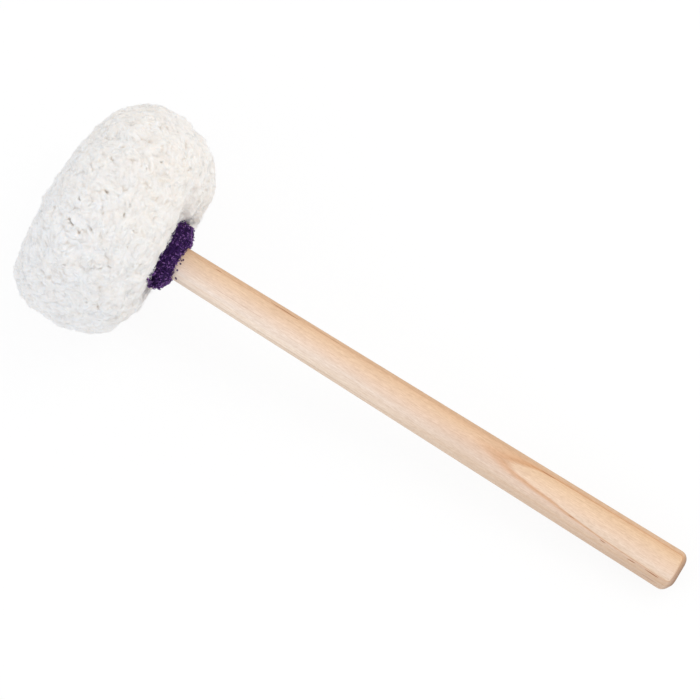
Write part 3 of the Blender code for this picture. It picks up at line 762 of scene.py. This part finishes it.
def math_node(tree, operation, first, second=None, third=None, clamp=False):
    made = tree.nodes.new("ShaderNodeMath")
    made.operation = operation
    made.use_clamp = clamp
    for socket, value in zip(made.inputs, (first, second, third)):
        if value is None:
            continue
        if isinstance(value, (int, float)):
            socket.default_value = value
        else:
            tree.links.new(value, socket)
    return made.outputs[0]


def rising(tree, value, slope, start):
    """A mask that rises with the value, kept between 0 and 1."""
    return math_node(tree, "MULTIPLY_ADD", value, slope, start, clamp=True)


def ramp(tree, factor, *stops):
    """A colour ramp through (place, colour) stops."""
    made = tree.nodes.new("ShaderNodeValToRGB")
    elements = made.color_ramp.elements
    while len(elements) < len(stops):
        elements.new(0.5)
    for element, (place, colour) in zip(elements, stops):
        element.position = place
        element.color = (*colour, 1)
    tree.links.new(factor, made.inputs[0])
    return made.outputs[0]


def mix(tree, factor, first, second, blend="MIX"):
    """A colour mix; each of the three may be a socket or a value."""
    made = tree.nodes.new("ShaderNodeMix")
    made.data_type = "RGBA"
    made.blend_type = blend
    for index, value in ((0, factor), (6, first), (7, second)):
        socket = made.inputs[index]
        if isinstance(value, (int, float)):
            socket.default_value = value
        elif isinstance(value, tuple):
            socket.default_value = (*value, 1)
        else:
            tree.links.new(value, socket)
    return made.outputs[2]


def noise_node(tree, vector, scale, detail=2.0, roughness=0.5, distortion=0.0):
    made = tree.nodes.new("ShaderNodeTexNoise")
    set_values(made, Scale=scale, Detail=detail, Roughness=roughness, Distortion=distortion)
    tree.links.new(vector, made.inputs["Vector"])
    return made.outputs["Fac"]


def stretched(tree, vector, size):
    """The vector with each axis multiplied by size."""
    made = tree.nodes.new("ShaderNodeVectorMath")
    made.operation = "MULTIPLY"
    made.inputs[1].default_value = size
    tree.links.new(vector, made.inputs[0])
    return made.outputs[0]


def axes(tree, vector):
    """The vector's X, Y and Z sockets."""
    split = tree.nodes.new("ShaderNodeSeparateXYZ")
    tree.links.new(vector, split.inputs[0])
    return split.outputs


def new_group(name, inputs, outputs):
    """An empty node group with these (name, kind, value) inputs and float outputs."""
    group = bpy.data.node_groups.new(name, "ShaderNodeTree")
    for label, kind, value in inputs:
        socket = group.interface.new_socket(label, in_out="INPUT", socket_type=f"NodeSocket{kind}")
        if value is not None:
            socket.default_value = value
    for label in outputs:
        group.interface.new_socket(label, in_out="OUTPUT", socket_type="NodeSocketFloat")
    given = group.nodes.new("NodeGroupInput").outputs
    return group, given, group.nodes.new("NodeGroupOutput").inputs


def placed(tree, group, vector):
    """The group as a node of the tree, fed with the vector."""
    made = tree.nodes.new("ShaderNodeGroup")
    made.node_tree = group
    tree.links.new(vector, made.inputs["Vector"])
    return made


def grain_group():
    """Growth rings and fibre of a plain-sawn board, in millimetres, with X along the grain."""
    group, given, out = new_group(
        "wood_grain",
        (
            ("Vector", "Vector", None),
            ("Pith Side", "Float", 2.6),
            ("Pith Drift", "Float", -0.03),
            ("Apex Place", "Float", 288.8),
            ("Pith Height", "Float", 75.87),
            ("Ring Start", "Float", 65.6),
            ("Ring Width", "Float", 2.47),
            ("Waver", "Float", 0.4),
        ),
        ("Ring", "Strength", "Fibre", "Fleck", "Cloud", "Pore"),
    )
    vector = given["Vector"]
    x, y, z = axes(group, vector)
    beyond = math_node(group, "SUBTRACT", x, given["Apex Place"])
    pith = math_node(group, "MULTIPLY_ADD", beyond, given["Pith Drift"], given["Pith Side"])
    side = math_node(group, "SUBTRACT", y, pith)
    drop = math_node(group, "SUBTRACT", given["Pith Height"], z)
    square = math_node(group, "MULTIPLY", side, side)
    square = math_node(group, "MULTIPLY_ADD", drop, drop, square)
    radius = math_node(group, "SQRT", square)
    wander = noise_node(group, stretched(group, vector, (0.018, 0.12, 0.12)), 1.0, 3.0)
    wander = math_node(group, "SUBTRACT", wander, 0.5)
    radius = math_node(group, "MULTIPLY_ADD", wander, given["Waver"], radius)
    phase = math_node(group, "SUBTRACT", radius, given["Ring Start"])
    phase = math_node(group, "DIVIDE", phase, given["Ring Width"])
    group.links.new(math_node(group, "FRACT", phase), out["Ring"])
    number = math_node(group, "FLOOR", math_node(group, "ADD", phase, 0.5))
    number = math_node(group, "SINE", math_node(group, "MULTIPLY_ADD", number, 2.4, math.pi / 2))
    group.links.new(math_node(group, "MULTIPLY_ADD", number, 0.42, 0.58), out["Strength"])
    for label, size, detail, rough in (
        ("Fleck", (0.3, 1.9, 1.9), 3.0, 0.7),
        ("Fibre", (0.035, 1.7, 1.7), 5.0, 0.72),
        ("Cloud", (0.02, 0.11, 0.11), 3.0, 0.55),
    ):
        tone = noise_node(group, stretched(group, vector, size), 1.0, detail, rough)
        group.links.new(tone, out[label])
    pore = noise_node(group, stretched(group, vector, (0.11, 3.4, 3.4)), 1.0, 1.0)
    pore = math_node(group, "SUBTRACT", pore, 0.67)
    group.links.new(math_node(group, "MULTIPLY", pore, 9.0, clamp=True), out["Pore"])
    return group


def streak_group():
    """One dark streak in the wood: a mask round a centre, long in X, with a wavering edge."""
    group, given, out = new_group(
        "grain_streak",
        (
            ("Vector", "Vector", None),
            ("Centre", "Vector", (0, 0, 0)),
            ("Half Length", "Float", 5.0),
            ("Half Width", "Float", 0.4),
            ("Half Depth", "Float", 1.6),
        ),
        ("Mask",),
    )
    offset = group.nodes.new("ShaderNodeVectorMath")
    offset.operation = "SUBTRACT"
    group.links.new(given["Vector"], offset.inputs[0])
    group.links.new(given["Centre"], offset.inputs[1])
    along, across, deep = axes(group, offset.outputs[0])
    waver = noise_node(group, stretched(group, given["Vector"], (0.12, 0.5, 0.5)), 1.0)
    waver = math_node(group, "MULTIPLY_ADD", waver, 0.6, -0.3)
    along = math_node(group, "DIVIDE", along, given["Half Length"])
    across = math_node(group, "DIVIDE", math_node(group, "ADD", across, waver), given["Half Width"])
    deep = math_node(group, "DIVIDE", math_node(group, "ADD", deep, waver), given["Half Depth"])
    total = math_node(group, "MULTIPLY", along, along)
    total = math_node(group, "MULTIPLY_ADD", across, across, total)
    total = math_node(group, "MULTIPLY_ADD", deep, deep, total)
    mask = math_node(group, "SUBTRACT", 1.0, total)
    group.links.new(math_node(group, "MULTIPLY", mask, 2.2, clamp=True), out["Mask"])
    return group


def new_material(name):
    made = bpy.data.materials.new(name)
    made.use_nodes = True
    tree = made.node_tree
    return made, tree, tree.nodes["Principled BSDF"]


def mallet_vector(tree):
    """The mallet's own coordinates, in millimetres, at a point of the surface."""
    place = tree.nodes.new("ShaderNodeTexCoord").outputs["Object"]
    turn = tree.nodes.new("ShaderNodeMapping")
    turn.vector_type = "POINT"
    start = Matrix.Rotation(-LEAN, 3, "Y") @ -CROWN
    set_values(turn, Rotation=(0, -LEAN, 0), Location=start)
    tree.links.new(place, turn.inputs["Vector"])
    return stretched(tree, turn.outputs[0], (1 / MM, 1 / MM, 1 / MM))


def bump(tree, shader, height, distance, strength):
    made = tree.nodes.new("ShaderNodeBump")
    set_values(made, Strength=strength, Distance=distance)
    tree.links.new(height, made.inputs["Height"])
    tree.links.new(made.outputs[0], shader.inputs["Normal"])


def maple_material(grain, streak):
    made, tree, shader = new_material("maple_satin")
    vector = mallet_vector(tree)
    wood = placed(tree, grain, vector).outputs
    x, y, z = axes(tree, vector)
    # Colour across the width, pale to -Y and tan to +Y: the tan of the upper chamfer and side is
    # partly the maple's own tone and partly painted shade of faces the lamps light less.
    place = math_node(tree, "MULTIPLY_ADD", wood["Cloud"], 3.0, -1.5)
    place = rising(tree, math_node(tree, "ADD", y, place), 1 / 22, 0.5)
    body = ramp(
        tree, place,
        (0.02, (0.79, 0.62, 0.48)), (0.22, (0.79, 0.645, 0.545)), (0.42, (0.805, 0.615, 0.485)),
        (0.60, (0.81, 0.595, 0.43)), (0.71, (0.79, 0.565, 0.385)), (0.79, (0.76, 0.52, 0.335)),
        (0.86, (0.70, 0.46, 0.285)), (0.96, (0.69, 0.47, 0.305)),
    )
    rings = ramp(
        tree, wood["Ring"],
        (0.0, (0.80, 0.58, 0.40)), (0.03, (0.88, 0.70, 0.55)), (0.08, (0.98, 0.93, 0.90)),
        (0.45, (1.01, 1.0, 1.0)), (0.75, (1.04, 1.04, 1.02)), (0.97, (1.03, 1.02, 0.98)),
        (1.0, (0.80, 0.58, 0.40)),
    )
    bold = math_node(tree, "MULTIPLY_ADD", rising(tree, x, 1 / 60, -4.2), 0.55, 0.35)
    bold = math_node(tree, "MULTIPLY", bold, wood["Strength"])
    # Painted light and shade on the handle's lower side: brighter and cooler by the neck, and on
    # the lower chamfer there, as painted light thrown back from the fleece; darker towards the butt
    # and on the side face below the chamfer, as painted shade.
    painted_neck_bounce = rising(tree, x, -1 / 130, 2.05)
    painted_neck_bounce = math_node(tree, "MULTIPLY", painted_neck_bounce, rising(tree, y, -1 / 8, 0.35))
    edge = rising(tree, y, -1 / 4, -1.5)
    painted_butt_shade = math_node(tree, "MULTIPLY", rising(tree, x, 1 / 150, -1.75), edge)
    high = rising(tree, z, 1 / 2, -1.4)
    painted_chamfer_bounce = math_node(tree, "MULTIPLY", high, math_node(tree, "MULTIPLY", edge, painted_neck_bounce))
    painted_flank_shade = math_node(tree, "MULTIPLY", math_node(tree, "SUBTRACT", 1.0, high), edge)
    for mask, tint in (
        (bold, rings), (painted_neck_bounce, (1.11, 1.17, 1.23)), (painted_butt_shade, (0.86, 0.78, 0.71)),
        (painted_chamfer_bounce, (1.10, 1.13, 1.15)), (painted_flank_shade, (0.95, 0.91, 0.86)),
    ):
        body = mix(tree, mask, body, tint, "MULTIPLY")
    for label, share, dark, light in (
        ("Cloud", 1.0, (0.96, 0.945, 0.93), (1.03, 1.03, 1.03)),
        ("Fibre", 0.9, (0.91, 0.87, 0.83), (1.04, 1.06, 1.07)),
        ("Fleck", 1.0, (0.87, 0.83, 0.79), (1.075, 1.085, 1.10)),
    ):
        tone = ramp(tree, wood[label], (0.3, dark), (0.7, light))
        body = mix(tree, share, body, tone, "MULTIPLY")
    pores = math_node(tree, "MULTIPLY", wood["Pore"], 0.22)
    body = mix(tree, pores, body, (0.62, 0.38, 0.22))
    for centre, length, width, depth, strength in STREAKS:
        mark = placed(tree, streak, vector)
        set_values(mark, Centre=centre, Half_Length=length, Half_Width=width, Half_Depth=depth)
        mask = math_node(tree, "MULTIPLY", mark.outputs["Mask"], strength)
        body = mix(tree, mask, body, (0.34, 0.12, 0.035))
    # The butt's last few millimetres are painted dark brown: partly the darker tone of end grain,
    # partly painted shade where the round-over turns away.
    wander = math_node(tree, "MULTIPLY_ADD", wood["Fibre"], 1.6, x)
    end = math_node(tree, "SUBTRACT", wander, BUTT_X - 2.9)
    end = math_node(tree, "MULTIPLY", end, 0.34, clamp=True)
    rings = ramp(tree, wood["Ring"], (0.0, (0.26, 0.14, 0.075)), (0.5, (0.34, 0.19, 0.11)))
    tree.links.new(mix(tree, end, body, rings), shader.inputs["Base Color"])
    rough = math_node(tree, "MULTIPLY_ADD", wood["Fibre"], 0.12, 0.40)
    tree.links.new(rough, shader.inputs["Roughness"])
    set_values(shader, Specular_IOR_Level=0.35)
    bump(tree, shader, wood["Fibre"], 0.00012, 0.5)
    return made


def fleece_material():
    made, tree, shader = new_material("fleece_wool")
    vector = mallet_vector(tree)
    x, y, _ = axes(tree, vector)
    # Warmer towards +Y and the neck: partly the wool's own cream tone, partly painted warm light on
    # the side the key lamp faces.
    warmth_tone_and_light = math_node(tree, "MULTIPLY_ADD", y, 1 / 120, noise_node(tree, vector, 0.045, 3.0))
    warmth_tone_and_light = math_node(tree, "MULTIPLY_ADD", x, 1 / 200, warmth_tone_and_light)
    body = ramp(
        tree, warmth_tone_and_light,
        (0.3, (0.86, 0.861, 0.865)), (0.75, (0.872, 0.86, 0.845)), (1.1, (0.88, 0.855, 0.825)),
    )
    tinge = ramp(
        tree, noise_node(tree, vector, 0.15, 2.0),
        (0.36, (0.985, 0.965, 0.945)), (0.6, (1.005, 1.005, 1.005)),
    )
    wisp = noise_node(tree, vector, 1.6, 3.0, 0.6, 0.8)
    wisps = ramp(tree, wisp, (0.3, (0.97, 0.96, 0.945)), (0.6, (1.0, 1.0, 1.0)))
    # Painted shade: the hollows between tufts and the pits are painted darker and warmer the deeper
    # they lie, and a little on the fleece tucked by the collar.
    hollow_shade = tree.nodes.new("ShaderNodeAttribute")
    hollow_shade.attribute_name = "hollow_shade"
    deep = ramp(
        tree, hollow_shade.outputs["Fac"],
        (0.12, (1.0, 1.0, 1.0)), (0.45, (0.975, 0.955, 0.93)), (0.72, (0.93, 0.885, 0.835)),
        (0.9, (0.84, 0.77, 0.70)), (1.0, (0.64, 0.56, 0.48)),
    )
    for tone in (tinge, wisps, deep):
        body = mix(tree, 1.0, body, tone, "MULTIPLY")
    tree.links.new(body, shader.inputs["Base Color"])
    set_values(
        shader, Roughness=0.95, Specular_IOR_Level=0.1, Subsurface_Weight=1.0,
        Subsurface_Radius=(1.0, 0.93, 0.86), Subsurface_Scale=0.0022,
    )
    bump(tree, shader, wisp, 0.0003, 0.4)
    return made


def strand_material():
    made, tree, shader = new_material("fleece_strand")
    cloud = noise_node(tree, mallet_vector(tree), 0.5, 2.0)
    body = ramp(tree, cloud, (0.3, (0.94, 0.935, 0.925)), (0.7, (0.96, 0.95, 0.935)))
    tree.links.new(body, shader.inputs["Base Color"])
    set_values(shader, Roughness=0.9, Specular_IOR_Level=0.1)
    return made


def yarn_material(name, by_tone):
    """The purple yarn, and its fuzz, whose curls each have a tone of their own."""
    made, tree, shader = new_material(name)
    fleck = noise_node(tree, mallet_vector(tree), 1.3, 3.0, 0.65)
    if by_tone:
        tone = tree.nodes.new("ShaderNodeAttribute")
        tone.attribute_name = "tone"
        factor = math_node(tree, "MULTIPLY_ADD", tone.outputs["Fac"], 0.75, fleck)
        body = ramp(
            tree, math_node(tree, "SUBTRACT", factor, 0.25),
            (0.15, (0.009, 0.001, 0.027)), (0.42, (0.050, 0.012, 0.112)),
            (0.65, (0.12, 0.043, 0.235)), (0.92, (0.36, 0.18, 0.50)),
        )
    else:
        body = ramp(tree, fleck, (0.3, (0.014, 0.003, 0.034)), (0.7, (0.036, 0.011, 0.082)))
    tree.links.new(body, shader.inputs["Base Color"])
    set_values(shader, Roughness=0.8, Specular_IOR_Level=0.10, Sheen_Weight=0.06)
    set_values(shader, Sheen_Tint=(0.55, 0.40, 0.80, 1))
    bump(tree, shader, fleck, 0.0003, 0.6)
    return made


def hidden_materials(grain):
    """Finishes of the parts inside the head."""
    finishes = {}
    for name, dark, light in (
        ("core_maple", (0.55, 0.36, 0.22), (0.80, 0.62, 0.44)),
        ("birch_plywood", (0.45, 0.30, 0.18), (0.72, 0.55, 0.37)),
    ):
        finishes[name], tree, shader = new_material(name)
        rings = placed(tree, grain, mallet_vector(tree)).outputs["Ring"]
        tree.links.new(ramp(tree, rings, (0.0, dark), (0.2, light)), shader.inputs["Base Color"])
        set_values(shader, Roughness=0.6)
    for name, dark, light, scale, rough, metal in (
        ("turned_steel", (0.42, 0.42, 0.43), (0.60, 0.60, 0.61), 3.0, 0.35, 1.0),
        ("grey_felt", (0.48, 0.46, 0.43), (0.68, 0.66, 0.62), 1.2, 0.95, 0.0),
        ("linen_twine", (0.50, 0.42, 0.28), (0.78, 0.70, 0.53), 2.0, 0.85, 0.0),
    ):
        finishes[name], tree, shader = new_material(name)
        fleck = noise_node(tree, mallet_vector(tree), scale, 4.0, 0.6)
        tree.links.new(ramp(tree, fleck, (0.35, dark), (0.65, light)), shader.inputs["Base Color"])
        set_values(shader, Roughness=rough, Metallic=metal)
        bump(tree, shader, fleck, 0.0002, 0.4)
    return finishes


def paint(piece, finish):
    piece.data.materials.clear()
    piece.data.materials.append(finish)


# Studio


def white_to_the_eye(tree, lit, white, share):
    """Shows white, by this share, where the camera or a gloss looks, and keeps the lit shader."""
    path = tree.nodes.new("ShaderNodeLightPath").outputs
    seen = math_node(tree, "MAXIMUM", path["Is Camera Ray"], path["Is Glossy Ray"])
    both = tree.nodes.new("ShaderNodeMixShader")
    tree.links.new(math_node(tree, "MULTIPLY", seen, share), both.inputs[0])
    tree.links.new(lit.outputs[0], both.inputs[1])
    tree.links.new(white.outputs[0], both.inputs[2])
    output = next(node for node in tree.nodes if node.type.startswith("OUTPUT"))
    tree.links.new(both.outputs[0], output.inputs["Surface"])


def build_floor():
    """A wide pale floor that keeps a soft shadow."""
    deselect()
    bpy.ops.mesh.primitive_plane_add(size=8, location=(0, 0, 0))
    floor = bpy.context.object
    floor.name = floor.data.name = "floor"
    made, tree, shader = new_material("floor_pale")
    set_values(shader, Base_Color=(0.86, 0.86, 0.86, 1), Roughness=1.0, Specular_IOR_Level=0.0)
    glow = tree.nodes.new("ShaderNodeEmission")
    set_values(glow, Color=(1, 1, 1, 1), Strength=1.022)
    white_to_the_eye(tree, shader, glow, 0.86)
    paint(floor, made)


def soft_lamp(name, towards, distance, size, power, colour):
    """A square soft light that shines on the mallet's middle from this direction."""
    data = bpy.data.lights.new(name, "AREA")
    data.shape = "SQUARE"
    data.size = size
    data.energy = power
    data.color = colour
    lamp = bpy.data.objects.new(name, data)
    bpy.context.scene.collection.objects.link(lamp)
    towards = Vector(towards).normalized()
    lamp.location = Vector((-0.05, 0, 0.03)) + towards * distance
    lamp.rotation_mode = "QUATERNION"
    lamp.rotation_quaternion = towards.to_track_quat("Z", "Y")


def build_light():
    world = bpy.data.worlds.new("studio")
    bpy.context.scene.world = world
    world.use_nodes = True
    tree = world.node_tree
    back = tree.nodes["Background"]
    set_values(back, Color=(0.97, 0.98, 1.0, 1), Strength=0.88)
    white = tree.nodes.new("ShaderNodeBackground")
    set_values(white, Color=(1, 1, 1, 1))
    white_to_the_eye(tree, back, white, 1.0)
    soft_lamp("key", (0.35, 0.55, 1.1), 1.8, 0.9, 6, (1.0, 0.95, 0.88))
    soft_lamp("fill", (-0.5, -1.0, 0.6), 2.0, 1.6, 4.5, (0.93, 0.96, 1.0))
    soft_lamp("near", (1.0, 0.1, 0.4), 2.0, 1.2, 2.5, (1.0, 0.97, 0.93))


def build_camera():
    turn = LAY.to_3x3()
    axis, across, back = turn @ Vector((1, 0, 0)), turn @ ACROSS, turn @ TO_CAMERA
    right = axis * math.cos(AXIS_SLOPE) + across * math.sin(AXIS_SLOPE)
    up = across * math.cos(AXIS_SLOPE) - axis * math.sin(AXIS_SLOPE)
    data = bpy.data.cameras.new("camera")
    data.sensor_width = SENSOR
    data.lens = SENSOR * CAMERA_DISTANCE / VIEW_WIDTH
    camera = bpy.data.objects.new("camera", data)
    bpy.context.scene.collection.objects.link(camera)
    aim = LAY @ ((Vector((AIM_ALONG, 0, 0)) + ACROSS * AIM_ACROSS) * MM)
    camera.rotation_mode = "QUATERNION"
    camera.rotation_quaternion = Matrix((right, up, back)).transposed().to_quaternion()
    camera.location = aim + back * CAMERA_DISTANCE
    bpy.context.scene.camera = camera


# Assembly


build_camera()
build_light()
build_floor()

grain = grain_group()
streak = streak_group()
inner = hidden_materials(grain)

handle = model_handle()
paint(handle, maple_material(grain, streak))
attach(handle, "root")
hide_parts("handle")

fleece = model_cover()
puff(fleece)
fluff(fleece)
paint(fleece, fleece_material())
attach(fleece, "root")
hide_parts("fleece_cover")

wool = strand_material()
for part, count, seed in (("strands", 8500, 3), ("fringe", 700, 8)):
    strands = comb_strands(fleece, "fleece_" + part, count, seed, part == "fringe")
    paint(strands, wool)
    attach(strands, "root")

yarn = model_yarn(fleece)
fuzz = curly_fuzz(yarn, "collar_fuzz", 4400, 5)
lay(yarn)
lay(fuzz)
paint(yarn, yarn_material("purple_yarn", False))
paint(fuzz, yarn_material("purple_fuzz", True))
for piece in (yarn, fuzz):
    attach(piece, "root")
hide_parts("yarn_collar")

for node, finish in (
    ("head_core", "core_maple"), ("cross_pin", "core_maple"), ("core_lid", "birch_plywood"),
    ("weight_ring", "turned_steel"), ("retaining_washer", "turned_steel"),
    ("retaining_screw", "turned_steel"), ("felt_band", "grey_felt"),
    ("felt_far_disc", "grey_felt"), ("felt_near_disc", "grey_felt"),
    ("felt_binding_far", "linen_twine"), ("felt_binding_near", "linen_twine"),
    ("neck_drawstring", "linen_twine"),
):
    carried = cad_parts[node]
    for place in carried.material_slots:
        place.material = inner[finish]

bpy.context.scene.view_settings.view_transform = "Standard"
